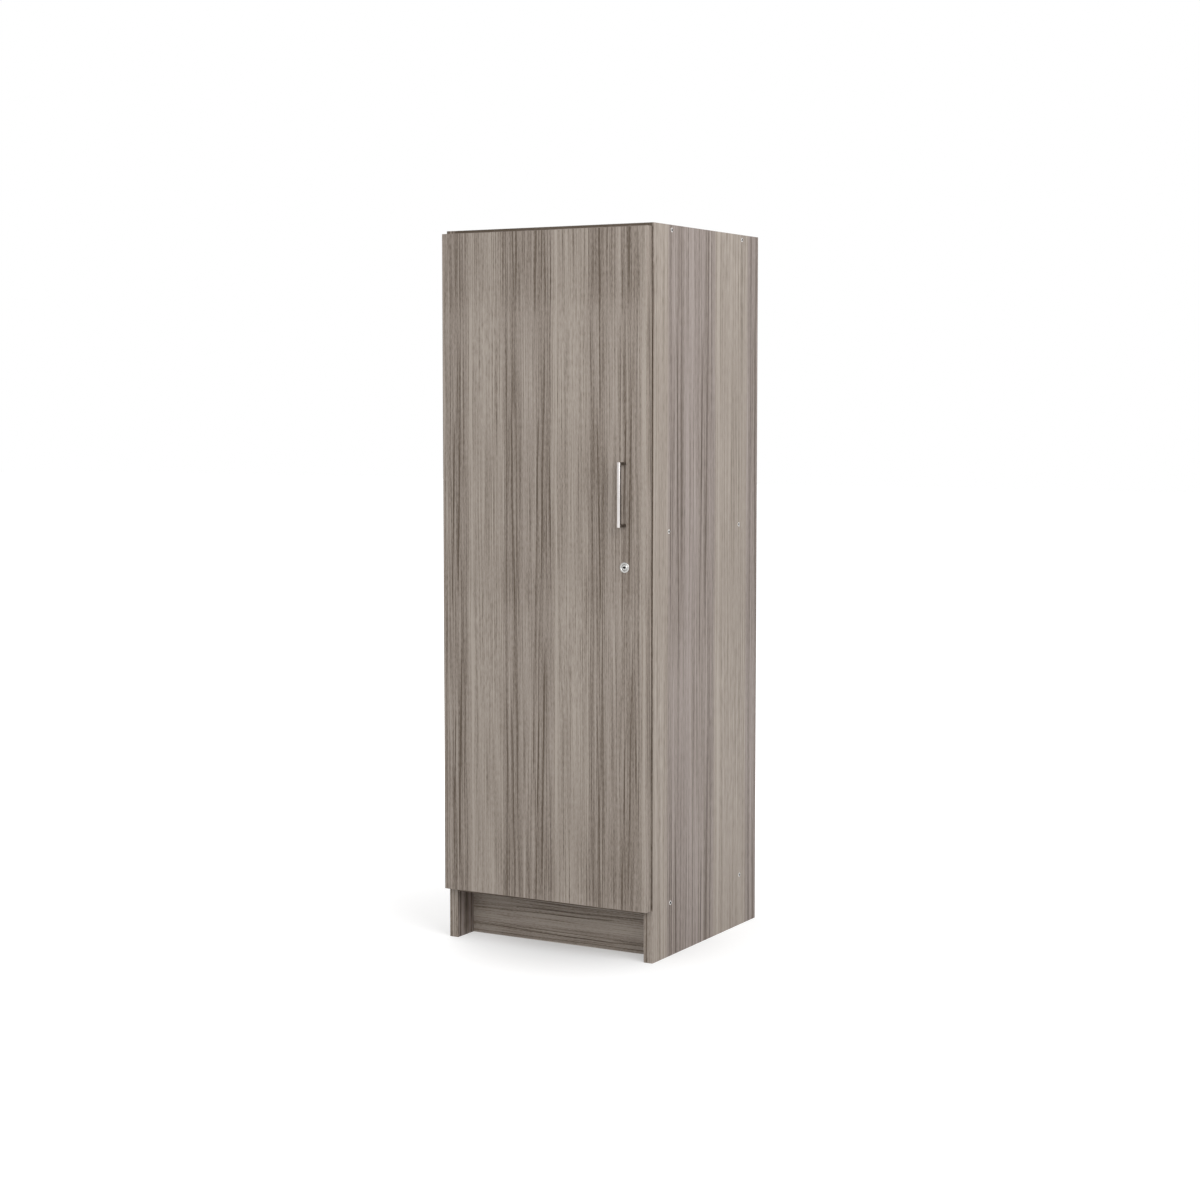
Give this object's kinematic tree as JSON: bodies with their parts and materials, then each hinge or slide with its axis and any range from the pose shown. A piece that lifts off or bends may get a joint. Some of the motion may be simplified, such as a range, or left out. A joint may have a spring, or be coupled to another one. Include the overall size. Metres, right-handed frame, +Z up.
{
  "type": "tall cabinet",
  "caption": "Tall cupboard with one full-overlay door on concealed cup hinges, square bar handle, cam lock, shelves on pins and a recessed toe board.",
  "frame": {"origin": "on the floor, under the middle of the whole box, handle included", "axes": "+X to the right seen from the front, +Y to the back, +Z up; the door and handle face -Y"},
  "size_m": [0.6, 0.647, 1.829],
  "materials": {
    "laminate": "matt wood-look laminate",
    "backing": "matt wood-look hardboard",
    "edge_band": "matt wood-look edge band",
    "satin_metal": "satin",
    "bright_metal": "bright nickel",
    "plated_steel": "zinc plated",
    "dowel_wood": "plain beech",
    "clear_bumper": "soft and translucent"
  },
  "bodies": {
    "carcass": {"back_panel": "backing", "bottom_panel": "laminate", "bracket_screws": "plated_steel", "carcass_screws": "plated_steel", "fixed_shelf": "laminate", "hinge_arm_bottom": "plated_steel", "hinge_arm_lower": "plated_steel", "hinge_arm_pins": "plated_steel", "hinge_arm_screws": "plated_steel", "hinge_arm_top": "plated_steel", "hinge_arm_upper": "plated_steel", "hinge_plate_bottom": "plated_steel", "hinge_plate_lower": "plated_steel", "hinge_plate_screws": "plated_steel", "hinge_plate_top": "plated_steel", "hinge_plate_upper": "plated_steel", "left_side_panel": "laminate", "lower_shelf": "laminate", "middle_shelf": "laminate", "panel_edge_bands": "edge_band", "right_side_panel": "laminate", "shelf_edge_bands": "edge_band", "shelf_pins": "plated_steel", "side_edge_bands": "edge_band", "strike_plate": "plated_steel", "strike_screws": "plated_steel", "toe_kick": "laminate", "toe_kick_brackets": "plated_steel", "toe_kick_dowels": "dowel_wood", "top_panel": "laminate", "upper_shelf": "laminate"},
    "outer_links": {"outer_link_bottom": "plated_steel", "outer_link_lower": "plated_steel", "outer_link_upper": "plated_steel", "outer_link_top": "plated_steel"},
    "inner_links": {"inner_link_bottom": "plated_steel", "inner_link_lower": "plated_steel", "inner_link_upper": "plated_steel", "inner_link_top": "plated_steel"},
    "door": {"door_panel": "laminate", "door_edge_bands": "edge_band", "handle": "satin_metal", "handle_screws": "plated_steel", "door_bumpers": "clear_bumper", "lock_body": "bright_metal", "lock_nut": "plated_steel", "hinge_cup_pins": "plated_steel", "hinge_cup_screws": "plated_steel", "hinge_cup_bottom": "plated_steel", "hinge_cup_lower": "plated_steel", "hinge_cup_upper": "plated_steel", "hinge_cup_top": "plated_steel"},
    "lock": {"lock_plug": "bright_metal", "lock_cam": "plated_steel", "cam_screw": "plated_steel"}
  },
  "joints": [
    {"name": "outer_link_swing", "type": "hinge", "parent": "carcass", "child": "outer_links", "pos_m": [-0.263, -0.2677, 0.976], "axis": [0, 0, 1], "range_deg": [0, 40.56]},
    {"name": "door_swing", "type": "hinge", "parent": "outer_links", "child": "door", "pos_m": [-0.2837, -0.2693, 0.976], "axis": [0, 0, -1], "range_deg": [0, 135.57]},
    {"name": "inner_link_swing", "type": "hinge", "parent": "carcass", "child": "inner_links", "pos_m": [-0.2626, -0.2723, 0.976], "axis": [0, 0, 1], "range_deg": [0, 29.45]},
    {"name": "lock_turn", "type": "hinge", "parent": "door", "child": "lock", "pos_m": [0.2357, -0.2785, 0.987], "axis": [0, 1, 0], "range_deg": [0, 90]}
  ],
  "couplings": [
    {"joint": "door_swing", "follows": "outer_link_swing", "ratio": 3.3419},
    {"joint": "inner_link_swing", "follows": "outer_link_swing", "ratio": 0.726}
  ]
}
